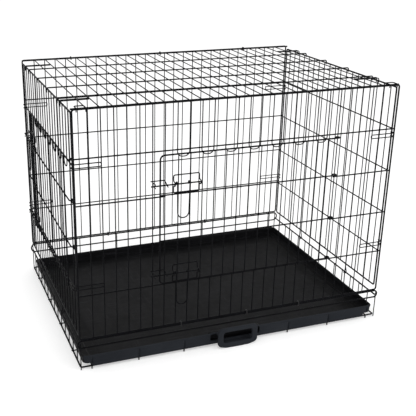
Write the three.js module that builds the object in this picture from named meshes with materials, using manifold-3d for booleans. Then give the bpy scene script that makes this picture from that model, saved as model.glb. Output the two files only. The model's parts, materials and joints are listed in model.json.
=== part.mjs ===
// A folding wire dog crate with a front door, an end door, a lift-up top and a slide-out pan.
// Millimetres, +Z up. X runs along the long side, Y from the front to the back.
// Every panel is drawn flat in its own frame: u to the right and v up as seen from
// outside the crate, n outwards. Nested groups then stand the panels up round the base.
import * as THREE from "three";
import { mergeVertices } from "three/addons/utils/BufferGeometryUtils.js";
import Module from "manifold-3d";

const wasm = await Module();
wasm.setup();

// ---- Overall size, between wire centres; heights count from the ground ----
const crateLength = 620;
const crateDepth = 446;
const topHeight = 484;

// ---- Wires ----
const frameDiameter = 3.2; // panel edges, base frame and sills
const railDiameter = 2.6; // long wires across each panel
const fineDiameter = 2.0; // close-set uprights
const doorFrameDiameter = 3.0;
const rodDiameter = 2.6; // slide bolts
const latchDiameter = 2.2; // bolt keepers and drop handles
const floorDiameter = 2.6; // floor of the base
const weldDepth = 0.35; // how far crossing wires of one piece sink into each other
const endBite = 0.6; // how far a wire runs past the centre of the wire that it ends on
const clearance = 0.35; // gap between pieces, whether they move or touch
const bendStep = 45; // degrees between the chords that a round eye is drawn with

// ---- Panels ----
const longPitch = 22.5; // between the uprights of the front, back and top
const endPitch = 22;
const firstUpright = 25; // from a corner to the first upright
const lastUprightGap = 15; // least distance from the last upright to the next corner
const railHeights = [400, 317, 231, 147]; // head, upper, middle and lower rail
const cornerRadius = 4;
const topRailCount = 4; // between the top's front and back wires

// ---- Base ----
const sillLower = 44; // the two wires of the front and back sills
const sillUpper = 58.3;
const sillBulge = 4; // rounded sill ends stand this far past the corner
const endRailHeight = 49; // hinge wires of the two end panels
const endPostPitch = 33;
const floorWireEdge = 20; // from a corner to the first floor wire
const floorWirePitch = 90;
const floorRailEdge = 61; // first and last long floor wire, from the front and back
const floorRailCount = 4;
const groundFrame = 4.4; // height of the loop that the floor wires lie on
const floorRailTip = 1.5; // ends of the long floor wires, outside the loop

// ---- End panels ----
const endInset = 7.3; // edge wires, from the planes of the front and back
const endPanelFoot = 68; // height of the bottom wire
const endHeadDrop = 6; // top wire, below the crate's top
const hingeColumns = [4, 13]; // uprights that reach down and curl round the hinge wire

// ---- Doors ----
const frontDoorFirst = 6; // index of the upright on the latch side of the front opening
const frontDoorLast = 21; // index of the upright that the front door hangs on
const endDoorFirst = 3; // the end door hangs on the last upright
const doorOverlap = 10; // door edge past the upright on the latch side
const doorTopDrop = 6; // door top below the head rail
const doorRailLift = 4.5; // door rails above the rails of the panel
const doorCornerRadius = 8;
const hairpinDrop = 12; // bends that join the cut uprights, below the head rail
const endDoorRail = 385; // head rail over the end door, lower than the other panels'

// ---- Latches, measured from the door's free edge ----
const boltHeight = 26; // above the panel rail under it
const boltReach = 20; // tip past the door's edge
const boltTail = 75;
const keeperNear = 23;
const keeperFar = 71;
const keeperRise = 15; // above the bolt
const keeperFall = 18; // below it
const keeperCorner = 5;
const handleNear = 27;
const handleFar = 50;
const handleDrop = 62;
const handleRadius = 10;
const stopStart = 18.5; // free end of the stop wire, past the door's edge
const stopBend = 7;
const stopEnd = 14;
const stopRise = 7; // above the bolt
const stopFall = 7; // below it
const catchReach = 15.5; // how far the arms of the catch stand out

// ---- Corner hooks ----
const hookLength = 48; // closed end, from the corner
const hookSpread = 7; // between the two legs
const hookHeights = { upper: 387.5, lower: 163.5 };
const topHookPlaces = { front: 74, back: 390 }; // along the crate's depth
const hookTip = 8; // how far the top hooks and rail ends turn down
const topCatchSpan = [7, 23]; // lip of the top over the front panel, from the corner
const topCatchDepth = 12;
const topCatchDrop = 4;

// ---- Hinge rings ----
const ringDiameter = 2.0;
const sillRingColumns = [7, 13, 18]; // each ring sits half a pitch past this upright
const topRingColumns = [3, 12, 21];
const topHingeOffset = 4.4; // between the top's back wire and the back panel's top wire

// ---- Pan ----
const panSideGap = 6; // from the ends of the crate
const panShift = -2; // the pan lies loose, a little to the left
const panFront = -7; // in front of the base frame
const panBackGap = 9; // from the back of the crate
const panHeight = 24;
const panWall = 2.5;
const panRadius = 9;
const panRimDepth = 4;
const panLedgeHeight = 9.5;
const panLedgeWidth = 10;
const gripWidth = 82;
const gripShift = -3.5; // the grip sits a little to the left of the pan's middle
const gripTop = 42.5;
const gripBottom = 1;
const gripThickness = 5;
const gripStandOff = 5; // back of the grip, in front of the pan's rim
const gripArm = 11;
const gripBar = 10;
const gripRadius = 16; // of the lower corners
const slotOverhang = 11; // ends of the finger slot, past the grip
const slotHeight = 13;

// ---- Materials ----
const blackWire = new THREE.MeshStandardMaterial({ color: 0x17171b, roughness: 0.42, metalness: 0.55 });
const zincRing = new THREE.MeshStandardMaterial({ color: 0x2a2a30, roughness: 0.35, metalness: 0.8 });
const panPlastic = new THREE.MeshStandardMaterial({ color: 0x232427, roughness: 0.4, metalness: 0 });

// ---- Wire sections ----
// A drawn wire is a square prism with the cross-section area of the round wire. `ridge`
// is the distance from its centre to an edge and `flat` the distance to a face.
function gauge(diameter) {
  const flat = (diameter / 4) * Math.sqrt(Math.PI);
  return { ridge: flat * Math.SQRT2, flat };
}

const frameWire = gauge(frameDiameter);
const railWire = gauge(railDiameter);
const fineWire = gauge(fineDiameter);
const doorWire = gauge(doorFrameDiameter);
const rodWire = gauge(rodDiameter);
const latchWire = gauge(latchDiameter);
const floorWire = gauge(floorDiameter);
const ringWire = gauge(ringDiameter);

// ---- Layers: how far each set of wires stands from its panel's own plane ----
const fineLayer = frameWire.flat - fineWire.ridge;
const layerStep = railWire.ridge + fineWire.ridge - weldDepth;
const railLayer = fineLayer - layerStep;
const hookLayer = -(frameWire.flat + clearance + fineWire.ridge);
const chordSlack = 1 / Math.cos(THREE.MathUtils.degToRad(bendStep / 2));
const eyeRadius = (fineWire.ridge + clearance + doorWire.ridge) * chordSlack;
const doorLayer = fineLayer + eyeRadius;
const doorFineLayer = doorLayer + layerStep;
const stopLayer = doorLayer + doorWire.ridge + clearance + fineWire.ridge;
const keeperLayer = doorFineLayer + fineWire.ridge + clearance + latchWire.ridge;
const boltEyeRadius = (rodWire.ridge + clearance + latchWire.ridge) * chordSlack;
const rodLayer = keeperLayer + boltEyeRadius;
const catchLayer = fineLayer + 2 * fineWire.ridge + clearance;

// ---- Places worked out from the sizes above ----
const evenly = (first, pitch, count) => Array.from({ length: count }, (_, i) => first + i * pitch);
const across = (size, pitch) => {
  const room = size - firstUpright - lastUprightGap;
  return evenly(firstUpright, pitch, Math.floor(room / pitch) + 1);
};
const longColumns = across(crateLength, longPitch);
const endColumns = across(crateDepth, endPitch);
const endDoorLast = endColumns.length - 1;
const endPanelHead = topHeight - endHeadDrop;
const fromStart = (distance) => distance;
const fromEnd = (distance) => crateLength - distance;
const [headRail, upperRail, middleRail, lowerRail] = railHeights;
const endDoorRails = [endDoorRail, upperRail, middleRail, lowerRail];
const latchRails = { upper: upperRail, lower: lowerRail };
const panelFoot = sillUpper + 2 * frameWire.flat + clearance;
const floorLevel = groundFrame + frameWire.flat + floorWire.ridge - weldDepth;
const floorTop = floorLevel + floorWire.ridge + clearance; // underside of the pan and posts
const lowerFloorLevel = floorLevel - floorWire.ridge - floorWire.flat + weldDepth;

// ---- Geometry helpers ----
const at = (u, v, n) => new THREE.Vector3(u, v, n);
const towardsN = at(0, 0, 1);

// Cuts each corner of a path back by an arc of the given radius.
function rounded(points, radius, steps, closed = false) {
  const last = points.length - 1;
  return points.flatMap((p, i) => {
    if (!closed && (i === 0 || i === last)) return [p];
    const before = points[(i + last) % points.length];
    const after = points[(i + 1) % points.length];
    const into = p.clone().sub(before).normalize();
    const out = after.clone().sub(p).normalize();
    const turn = into.angleTo(out);
    if (turn < 1e-6) return [p];
    const inwards = out.clone().sub(into).normalize();
    const centre = p.clone().addScaledVector(inwards, radius / Math.cos(turn / 2));
    const start = p.clone().addScaledVector(into, -radius * Math.tan(turn / 2)).sub(centre);
    return Array.from({ length: steps + 1 }, (_, k) => {
      const angle = (turn * k) / steps;
      const along = into.clone().multiplyScalar(radius * Math.sin(angle));
      return centre.clone().addScaledVector(start, Math.cos(angle)).add(along);
    });
  });
}

// Points of an arc in the v-n plane at u; 0 degrees points along +n and 90 along +v.
function arc(u, v, n, radius, from, to) {
  const steps = Math.round(Math.abs(to - from) / bendStep);
  return Array.from({ length: steps + 1 }, (_, k) => {
    const angle = THREE.MathUtils.degToRad(from + ((to - from) * k) / steps);
    return at(u, v + radius * Math.sin(angle), n + radius * Math.cos(angle));
  });
}

// Sweeps a wire's section along a path with mitred corners. One edge of the first
// section points towards `edge`, or one face does if `faceOn` is set.
function wire(points, section, { edge = towardsN, faceOn = false, closed = false } = {}) {
  const count = points.length;
  const tangent = (i) => points[(i + 1) % count].clone().sub(points[i]).normalize();
  const incoming = closed ? tangent(count - 1) : tangent(0);
  const side = edge.clone().addScaledVector(incoming, -edge.dot(incoming)).normalize();
  const across = incoming.clone().cross(side);
  const phase = faceOn ? 0.5 : 0;
  let ring = Array.from({ length: 4 }, (_, k) => {
    const angle = (Math.PI / 2) * (k + phase);
    return points[0]
      .clone()
      .addScaledVector(side, section.ridge * Math.cos(angle))
      .addScaledVector(across, section.ridge * Math.sin(angle));
  });
  const rings = [];
  for (let i = 0; i < count; i += 1) {
    const into = i === 0 ? incoming : tangent(i - 1);
    const open = !closed && (i === 0 || i === count - 1);
    const plane = open ? into : into.clone().add(tangent(i)).normalize();
    ring = ring.map((q) => {
      const travel = points[i].clone().sub(q).dot(plane) / into.dot(plane);
      return q.clone().addScaledVector(into, travel);
    });
    rings.push(ring);
  }
  return solidFromRings(rings, closed);
}

// Skins a stack of rings with equal counts. An open stack is capped at both ends.
function solidFromRings(rings, closed = false) {
  const sides = rings[0].length;
  const faces = [];
  const vertex = (i, k) => (i % rings.length) * sides + (k % sides);
  for (let i = 0; i < rings.length - (closed ? 0 : 1); i += 1) {
    for (let k = 0; k < sides; k += 1) {
      faces.push(vertex(i, k), vertex(i, k + 1), vertex(i + 1, k + 1));
      faces.push(vertex(i, k), vertex(i + 1, k + 1), vertex(i + 1, k));
    }
  }
  for (let k = 1; !closed && k < sides - 1; k += 1) {
    const end = rings.length - 1;
    faces.push(vertex(0, 0), vertex(0, k + 1), vertex(0, k));
    faces.push(vertex(end, 0), vertex(end, k), vertex(end, k + 1));
  }
  const geometry = new THREE.BufferGeometry().setFromPoints(rings.flat());
  geometry.setIndex(faces);
  return solid(geometry);
}

function solid(geometry) {
  const bare = new THREE.BufferGeometry();
  bare.setAttribute("position", geometry.getAttribute("position"));
  bare.setIndex(geometry.index);
  const merged = mergeVertices(bare, 1e-4);
  const vertProperties = merged.getAttribute("position").array;
  const triVerts = new Uint32Array(merged.index.array);
  return new wasm.Manifold(new wasm.Mesh({ numProp: 3, vertProperties, triVerts }));
}

function join(solids) {
  if (solids.length === 1) return solids[0];
  const half = Math.ceil(solids.length / 2);
  return join(solids.slice(0, half)).add(join(solids.slice(half)));
}

function meshOf(name, body, material) {
  const { numProp, numVert, vertProperties, triVerts } = body.getMesh();
  const positions = new Float32Array(numVert * 3);
  for (let i = 0; i < numVert; i += 1) {
    positions.set(vertProperties.subarray(i * numProp, i * numProp + 3), i * 3);
  }
  const indexed = new THREE.BufferGeometry();
  indexed.setAttribute("position", new THREE.BufferAttribute(positions, 3));
  indexed.setIndex(new THREE.BufferAttribute(triVerts, 1));
  const geometry = indexed.toNonIndexed();
  geometry.computeVertexNormals();
  const mesh = new THREE.Mesh(geometry, material);
  mesh.name = name;
  return mesh;
}

// ---- Parts of a panel ----
const upright = (u, from, to, layer = fineLayer, section = fineWire) =>
  wire([at(u, from, layer), at(u, to, layer)], section);

const rail = (v, from, to, layer = railLayer, section = railWire) =>
  wire([at(from, v, layer), at(to, v, layer)], section);

const frame = (left, bottom, right, top) => {
  const corners = [at(left, bottom, 0), at(right, bottom, 0), at(right, top, 0), at(left, top, 0)];
  return wire(rounded(corners, cornerRadius, 2, true), frameWire, { closed: true, faceOn: true });
};

// An upright of an end panel whose foot runs on and curls round the hinge wire.
function footedUpright(u, from, to) {
  const radius = (frameWire.ridge + clearance + fineWire.ridge) * chordSlack;
  const path = [at(u, to, fineLayer), at(u, endRailHeight + 2 * radius, fineLayer)];
  path.push(...arc(u, endRailHeight, 0, radius, 0, -270));
  return wire(path, fineWire);
}

// The bend that joins two neighbouring uprights above a door.
const hairpin = (left, right, top, bottom) => {
  const bend = (right - left) * 0.28;
  const path = [at(left, top, fineLayer), at(left, bottom, fineLayer)];
  path.push(at(right, bottom, fineLayer), at(right, top, fineLayer));
  return wire(rounded(path, bend, 1), fineWire);
};

// A panel of uprights and rails inside a frame. `door` gives the uprights that a doorway
// lies between, and `feet` those that run down to the hinge wire.
function panel({ places, rails = railHeights, door: opening = [], feet = [], ...edges }) {
  const { left, bottom, right, top } = edges;
  const [first, last] = opening;
  const [overDoor] = rails;
  const wires = [frame(left, bottom, right, top)];
  const overRail = endBite + railWire.flat;
  places.forEach((u, i) => {
    const head = i > first && i < last ? lowerRail + overRail : top + endBite;
    const standing = feet.includes(i) ? footedUpright : upright;
    wires.push(standing(u, bottom - endBite, head));
  });
  for (let i = first + 1; i < last; i += 2) {
    wires.push(hairpin(places[i], places[i + 1], top + endBite, overDoor - hairpinDrop));
  }
  for (const v of rails) {
    const whole = !opening.length || v === overDoor || v === lowerRail;
    const spans = whole
      ? [[left - endBite, right + endBite]]
      : [
          [left - endBite, places[first] + overRail],
          [places[last] - overRail, right + endBite],
        ];
    for (const [from, to] of spans) wires.push(rail(v, from, to));
  }
  return join(wires);
}

const frontPanel = () =>
  panel({
    places: longColumns,
    left: 0,
    bottom: panelFoot,
    right: crateLength,
    top: topHeight,
    door: [frontDoorFirst, frontDoorLast],
  });

// Seen from behind, the columns of the back are those of the front in mirror image.
const backPanel = () =>
  panel({
    places: longColumns.map(fromEnd),
    left: 0,
    bottom: panelFoot,
    right: crateLength,
    top: topHeight,
  });

// An end panel folds inwards on two uprights whose feet curl round the base's hinge wire.
const endPanel = (door, rails) =>
  panel({
    places: endColumns,
    rails,
    left: endInset,
    bottom: endPanelFoot,
    right: crateDepth - endInset,
    top: endPanelHead,
    door,
    feet: hingeColumns,
  });

// The top has no wire along its ends: its long wires turn down over the end panels.
function topPanel() {
  const front = topHingeOffset;
  const back = crateDepth - topHingeOffset;
  const outside = fineLayer + fineWire.ridge + clearance + railWire.ridge;
  const wires = [front, back].map((v) => {
    const ends = [at(-frameWire.flat, v, 0), at(crateLength + frameWire.flat, v, 0)];
    return wire(ends, frameWire, { faceOn: true });
  });
  for (const u of longColumns) wires.push(upright(u, front - endBite, back + endBite));
  const step = (back - front) / (topRailCount + 1);
  for (const v of evenly(front + step, step, topRailCount)) {
    const path = [at(-outside, v, railLayer - hookTip), at(-outside, v, railLayer)];
    path.push(at(crateLength + outside, v, railLayer));
    path.push(at(crateLength + outside, v, railLayer - hookTip));
    wires.push(wire(rounded(path, 2, 1), railWire, { edge: at(1, 0, 0) }));
  }
  return join(wires);
}

// ---- Hooks and catches that hold the panels to each other ----
// A hook that reaches round the corner and behind the end panel's edge wire.
// `place` turns a distance from the corner into u, so it serves both ends.
function cornerHook(place, height) {
  const behind = hookLayer - endInset;
  const leg = (v) => [
    at(place(hookLength), v, hookLayer),
    at(place(hookLayer), v, hookLayer),
    at(place(hookLayer), v, behind),
    at(place(0), v, behind),
  ];
  const path = [...leg(height - hookSpread / 2).reverse(), ...leg(height + hookSpread / 2)];
  return wire(path, fineWire, { edge: at(0, 1, 0) });
}

// A hook of the top that drops outside the end panel's top wire.
function topHook(place, v) {
  const leg = (across) => [
    at(place(hookLength), across, hookLayer),
    at(place(hookLayer), across, hookLayer),
    at(place(hookLayer), across, hookLayer - hookTip),
  ];
  const path = [...leg(v - hookSpread / 2).reverse(), ...leg(v + hookSpread / 2)];
  return wire(path, fineWire, { edge: at(0, 1, 0) });
}

// The lip of the top that comes down in front of the front panel's top wire.
function topCatch(place) {
  const leg = (u) => [
    at(u, hookLayer, -topCatchDrop),
    at(u, hookLayer, -hookLayer),
    at(u, topCatchDepth, -hookLayer),
  ];
  const [near, far] = topCatchSpan.map((distance) => leg(place(distance)));
  return wire([...near, ...far.reverse()], fineWire, { edge: at(1, 0, 0) });
}

// ---- Doors: a bent frame whose ends curl round the upright that the door hangs on ----
function door(places, first, last) {
  const edge = places[first] - doorOverlap;
  const hinge = places[last];
  const top = headRail - doorTopDrop;
  const bottom = lowerRail + doorRailLift;
  const curl = (v) =>
    [0, 45, 90, 135, 180, 225, 270].map((degrees) => {
      const angle = THREE.MathUtils.degToRad(degrees);
      return at(hinge + eyeRadius * Math.sin(angle), v, fineLayer + eyeRadius * Math.cos(angle));
    });
  const outline = [at(hinge, bottom, doorLayer), at(edge, bottom, doorLayer)];
  outline.push(at(edge, top, doorLayer), at(hinge, top, doorLayer));
  const bent = rounded(outline, doorCornerRadius, 2);
  const path = [...curl(bottom).slice(1).reverse(), ...bent, ...curl(top).slice(1)];
  const wires = [wire(path, doorWire, { edge: at(1, 0, 0) })];
  for (const v of [upperRail + doorRailLift, middleRail + doorRailLift]) {
    wires.push(wire([at(edge - endBite, v, doorLayer), ...curl(v)], railWire));
  }
  const ends = [bottom - doorWire.flat, top + doorWire.flat];
  for (const u of places.slice(first + 1, last - 1)) wires.push(upright(u, ...ends, doorFineLayer));
  const stile = doorLayer + 2 * doorWire.ridge - weldDepth;
  wires.push(upright(places[last - 1], ...ends, stile, doorWire));
  return join(wires);
}

// The bolt's keeper: a loop on the door whose two sides arch over the bolt.
function keeper(edge, boltV) {
  const side = (u, inwards) => [
    at(u + inwards * keeperCorner, boltV + keeperRise, keeperLayer),
    at(u, boltV + keeperRise - keeperCorner, keeperLayer),
    at(u, boltV + boltEyeRadius, keeperLayer),
    ...arc(u, boltV, rodLayer, boltEyeRadius, 90, -90),
    at(u, boltV - boltEyeRadius, keeperLayer),
    at(u, boltV - keeperFall + keeperCorner, keeperLayer),
    at(u + inwards * keeperCorner, boltV - keeperFall, keeperLayer),
  ];
  const path = [...side(edge + keeperNear, 1), ...side(edge + keeperFar, -1).reverse()];
  return wire(path, latchWire, { closed: true });
}

const boltRod = (edge, boltV) => rail(boltV, edge - boltReach, edge + boltTail, rodLayer, rodWire);

// A drop handle hangs from the bolt by two eyes and swings up outwards.
function dropHandle(edge, boltV) {
  const near = edge + handleNear;
  const far = edge + handleFar;
  const front = rodLayer + boltEyeRadius;
  const low = boltV - handleDrop;
  const eye = (u) => arc(u, boltV, rodLayer, boltEyeRadius, 225, 0);
  const corners = [at(near, boltV, front), at(near, low, front), at(far, low, front), at(far, boltV, front)];
  const loop = rounded(corners, handleRadius, 2);
  return wire([...eye(near), ...loop.slice(1, -1), ...eye(far).reverse()], latchWire);
}

// A stop on the door's edge: it lies over the panel's upright and bends down past the bolt.
function stopWire(edge, boltV) {
  const path = [at(edge - stopStart, boltV + stopRise, stopLayer)];
  path.push(at(edge + stopBend, boltV + stopRise, stopLayer));
  path.push(at(edge + stopEnd, boltV - stopFall, stopLayer));
  return wire(rounded(path, 3, 2), fineWire);
}

// The staple on the panel that the bolt's tip rests in. It is open outwards, so that the
// door swings clear of it.
function boltCatch(u, boltV) {
  const arm = rodWire.ridge + clearance + fineWire.ridge;
  const path = [at(u, boltV + arm, catchReach), at(u, boltV + arm, catchLayer)];
  path.push(at(u, boltV - arm, catchLayer), at(u, boltV - arm, catchReach));
  return wire(path, fineWire, { edge: at(0, 1, 0) });
}

// ---- Hinge rings: closed wire rings round two neighbouring wires ----
// A ring lies in the plane across u; `reachV` and `reachN` are its half sizes.
function ring(u, v, reachV, reachN) {
  const corners = [at(u, v - reachV, -reachN), at(u, v + reachV, -reachN)];
  corners.push(at(u, v + reachV, reachN), at(u, v - reachV, reachN));
  return wire(corners, ringWire, { closed: true, edge: at(1, 0, 0), faceOn: true });
}

const ringSlack = clearance + ringWire.flat;
const ringGap = 0.6; // more room in front of and behind the ringed wires

function sillRing(column) {
  const u = longColumns[column] + longPitch / 2;
  const reachV = (panelFoot - sillUpper) / 2 + frameWire.flat + ringSlack;
  return ring(u, (sillUpper + panelFoot) / 2, reachV, frameWire.flat + ringSlack + ringGap);
}

function topRing(column) {
  const u = longColumns[column] + longPitch / 2;
  const reachV = topHingeOffset / 2 + frameWire.ridge + ringSlack;
  return ring(u, crateDepth - topHingeOffset / 2, reachV, frameWire.ridge + ringSlack + ringGap);
}

// ---- Base: a floor of crossed wires, two sills and two sides with hinge wires ----
const floorColumns = () => {
  const near = evenly(floorWireEdge, floorWirePitch, 3);
  return [...near, crateLength / 2, ...near.map(fromEnd).reverse()];
};

function floorGrid() {
  const plan = [
    at(0, 0, groundFrame),
    at(crateLength, 0, groundFrame),
    at(crateLength, crateDepth, groundFrame),
    at(0, crateDepth, groundFrame),
  ];
  const wires = [wire(rounded(plan, cornerRadius, 2, true), frameWire, { closed: true, faceOn: true })];
  // The wires from front to back lie on the loop; their ends turn down outside it as feet.
  const outer = frameWire.flat + clearance + floorWire.ridge;
  for (const x of floorColumns()) {
    const path = [at(x, -outer, 0), at(x, -outer, floorLevel)];
    path.push(at(x, crateDepth + outer, floorLevel), at(x, crateDepth + outer, 0));
    wires.push(wire(path, floorWire, { edge: at(1, 0, 0) }));
  }
  // The long wires run under them, through the loop.
  const tip = frameWire.flat + floorRailTip;
  const pitch = (crateDepth - 2 * floorRailEdge) / (floorRailCount - 1);
  for (const y of evenly(floorRailEdge, pitch, floorRailCount)) {
    const ends = [at(-tip, y, lowerFloorLevel), at(crateLength + tip, y, lowerFloorLevel)];
    wires.push(wire(ends, floorWire, { faceOn: true }));
  }
  return join(wires);
}

const post = (x, y, top) =>
  wire([at(x, y, floorTop), at(x, y, top)], fineWire, { edge: at(1, 0, 0) });

// One side of the base: a row of posts under the wire that an end panel hinges on.
function baseSide(x) {
  const inset = frameWire.flat + clearance;
  const ends = [at(x, inset, endRailHeight), at(x, crateDepth - inset, endRailHeight)];
  const posts = across(crateDepth, endPostPitch).map((y) => post(x, y, endRailHeight + endBite));
  return join([wire(ends, frameWire, { edge: at(1, 0, 0), faceOn: true }), ...posts]);
}

// A sill is one long loop of wire with round ends, on posts; a panel is ringed to it.
function sill(y, columns) {
  const radius = (sillUpper - sillLower) / 2;
  const middle = (sillUpper + sillLower) / 2;
  const end = (x, heading) =>
    [-90, -45, 0, 45, 90].map((degrees) => {
      const angle = THREE.MathUtils.degToRad(heading + degrees);
      return at(x + radius * Math.cos(angle), y, middle + radius * Math.sin(angle));
    });
  const path = [...end(crateLength + sillBulge - radius, 0), ...end(radius - sillBulge, 180)];
  const loop = wire(path, frameWire, { closed: true, edge: at(0, 1, 0), faceOn: true });
  return join([loop, ...columns.map((x) => post(x, y, sillUpper + endBite))]);
}

// ---- Pan: a moulded tray with a stepped wall, a finger slot and a looped grip ----
function pan() {
  const floor = floorTop;
  const left = panSideGap + panShift;
  const right = crateLength - panSideGap + panShift;
  const back = crateDepth - panBackGap;
  const rim = floor + panHeight;
  const ledge = floor + panLedgeHeight;
  const step = panLedgeWidth;
  const loop = (side, ahead, behind, z) =>
    roundedLoop(left + side, panFront + ahead, right - side, back - behind, panRadius, z);
  const tray = solidFromRings([
    loop(step + 6, 3, step + 4, floor),
    loop(step + 3, 2.5, step + 1, ledge - 1.5),
    loop(3, 2, 3, ledge),
    loop(1.5, 1, 1.5, rim - panRimDepth),
    loop(0, 0, 0, rim - panRimDepth),
    loop(0, 0, 0, rim - 1),
    loop(1, 1, 1, rim),
    loop(3.2, 3.2, 3.2, rim),
    loop(3 + panWall, 2 + panWall, 3 + panWall, ledge + panWall),
    loop(step + 3 + panWall, 3 + panWall, step + 1 + panWall, ledge - 1.5 + panWall),
    loop(step + 6 + panWall, 4 + panWall, step + 4 + panWall, floor + panWall),
  ]);
  const centre = (left + right) / 2 + gripShift;
  return tray.subtract(fingerSlot(centre, rim)).add(grip(centre, rim));
}

// A rectangle with round corners at height z, counter-clockwise from above.
function roundedLoop(left, front, right, back, radius, z) {
  const corners = [
    [right - radius, back - radius, 0],
    [left + radius, back - radius, 90],
    [left + radius, front + radius, 180],
    [right - radius, front + radius, 270],
  ];
  return corners.flatMap(([x, y, start]) =>
    [0, 30, 60, 90].map((degrees) => {
      const angle = THREE.MathUtils.degToRad(start + degrees);
      return at(x + radius * Math.cos(angle), y + radius * Math.sin(angle), z);
    }),
  );
}

// Stands an outline drawn in x and z up in the crate, from y `from` to y `to`.
function upstand(shape, from, to) {
  const settings = { depth: to - from, bevelEnabled: false, curveSegments: 3 };
  const geometry = new THREE.ExtrudeGeometry(shape, settings);
  geometry.rotateX(Math.PI / 2);
  geometry.translate(0, to, 0);
  return solid(geometry);
}

function slotShape(left, bottom, right, top, radius) {
  const shape = new THREE.Shape();
  shape.moveTo(left + radius, bottom);
  shape.absarc(right - radius, bottom + radius, radius, -Math.PI / 2, 0);
  shape.absarc(right - radius, top - radius, radius, 0, Math.PI / 2);
  shape.absarc(left + radius, top - radius, radius, Math.PI / 2, Math.PI);
  shape.absarc(left + radius, bottom + radius, radius, Math.PI, 1.5 * Math.PI);
  return shape;
}

function fingerSlot(centre, rim) {
  const top = rim - panRimDepth;
  const half = gripWidth / 2 + slotOverhang;
  const shape = slotShape(centre - half, top - slotHeight, centre + half, top, slotHeight / 3);
  return upstand(shape, panFront - gripStandOff, panFront + 2 * panWall + 1);
}

// The grip: an upright loop with a bowed lower bar, carried on two webs from the rim.
function grip(centre, rim) {
  const half = gripWidth / 2;
  const plate = new THREE.Shape();
  plate.moveTo(centre - half, gripTop - 4);
  plate.lineTo(centre - half, gripBottom + gripRadius);
  plate.quadraticCurveTo(centre - half, gripBottom + 1, centre - half + gripRadius, gripBottom);
  plate.lineTo(centre + half - gripRadius, gripBottom);
  plate.quadraticCurveTo(centre + half, gripBottom + 1, centre + half, gripBottom + gripRadius);
  plate.lineTo(centre + half, gripTop - 4);
  plate.quadraticCurveTo(centre + half, gripTop, centre + half - 4, gripTop);
  plate.lineTo(centre - half + 4, gripTop);
  plate.quadraticCurveTo(centre - half, gripTop, centre - half, gripTop - 4);
  const inner = half - gripArm;
  plate.holes.push(slotShape(centre - inner, gripBottom + gripBar, centre + inner, gripTop - 8, 5));
  const back = panFront - gripStandOff;
  const loop = upstand(plate, back - gripThickness, back);
  const webs = [-1, 1].map((side) => {
    const middle = centre + side * (half - gripArm / 2);
    const web = slotShape(middle - 4, rim - panRimDepth, middle + 4, rim, 1);
    return upstand(web, back - 1, panFront + 2);
  });
  return join([loop, ...webs]);
}

// ---- Assembly ----
const crate = new THREE.Group();
const addTo = (group, name, body, material = blackWire) => group.add(meshOf(name, body, material));

// Stands a panel's own frame up on a side of the crate; `turn` is its heading in degrees.
function side(x, y, turn) {
  const heading = new THREE.Group();
  heading.position.set(x, y, 0);
  heading.rotation.z = THREE.MathUtils.degToRad(turn);
  const standing = new THREE.Group();
  standing.rotation.x = Math.PI / 2;
  heading.add(standing);
  crate.add(heading);
  return standing;
}

// A door with its two latches, and on the panel behind it the catches for their bolts.
function hangDoor(group, name, places, first, last) {
  const edge = places[first] - doorOverlap;
  addTo(group, name, door(places, first, last));
  for (const [level, v] of Object.entries(latchRails)) {
    const boltV = v + boltHeight;
    const latch = name + "_" + level;
    addTo(group, latch + "_keeper", keeper(edge, boltV));
    addTo(group, latch + "_stop_wire", stopWire(edge, boltV));
    addTo(group, latch + "_bolt", boltRod(edge, boltV));
    addTo(group, latch + "_handle", dropHandle(edge, boltV));
    addTo(group, latch + "_catch", boltCatch(places[first - 1], boltV));
  }
}

// Hooks of a long panel at both of its ends, named by the end that they hold.
function addCornerHooks(group, name, startEnd, finishEnd) {
  for (const [level, height] of Object.entries(hookHeights)) {
    addTo(group, name + "_" + startEnd + "_" + level + "_hook", cornerHook(fromStart, height));
    addTo(group, name + "_" + finishEnd + "_" + level + "_hook", cornerHook(fromEnd, height));
  }
}

const frontSide = side(0, 0, 0);
const rightSide = side(crateLength, 0, 90);
const backSide = side(crateLength, crateDepth, 180);
const leftSide = side(0, crateDepth, -90);
const topSide = new THREE.Group();
topSide.position.z = topHeight;
crate.add(topSide);

addTo(crate, "base_floor_grid", floorGrid());
addTo(crate, "base_left_side", baseSide(0));
addTo(crate, "base_right_side", baseSide(crateLength));
addTo(crate, "front_sill", sill(0, [0, crateLength]));
addTo(crate, "back_sill", sill(crateDepth, [0, ...floorColumns(), crateLength]));
addTo(crate, "pan", pan(), panPlastic);
addTo(frontSide, "front_panel", frontPanel());
addTo(backSide, "back_panel", backPanel());
addTo(leftSide, "left_end_panel", endPanel([endDoorFirst, endDoorLast], endDoorRails));
addTo(rightSide, "right_end_panel", endPanel());
addTo(topSide, "top_panel", topPanel());
hangDoor(frontSide, "front_door", longColumns, frontDoorFirst, frontDoorLast);
hangDoor(leftSide, "end_door", endColumns, endDoorFirst, endDoorLast);
addCornerHooks(frontSide, "front", "left", "right");
addCornerHooks(backSide, "back", "right", "left");
for (const [place, v] of Object.entries(topHookPlaces)) {
  addTo(topSide, "top_left_" + place + "_hook", topHook(fromStart, v));
  addTo(topSide, "top_right_" + place + "_hook", topHook(fromEnd, v));
}
addTo(topSide, "top_left_catch", topCatch(fromStart));
addTo(topSide, "top_right_catch", topCatch(fromEnd));
sillRingColumns.forEach((column, i) => {
  addTo(frontSide, "front_hinge_ring_" + (i + 1), sillRing(column), zincRing);
  addTo(backSide, "back_hinge_ring_" + (i + 1), sillRing(column), zincRing);
});
topRingColumns.forEach((column, i) => {
  addTo(topSide, "top_hinge_ring_" + (i + 1), topRing(column), zincRing);
});

// The origin is the centre of the underside.
crate.updateMatrixWorld(true);
const extent = new THREE.Box3().setFromObject(crate, true);
const middle = extent.getCenter(new THREE.Vector3());
crate.position.set(-middle.x, -middle.y, -extent.min.z);

export default crate;
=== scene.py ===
import json
import math

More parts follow.
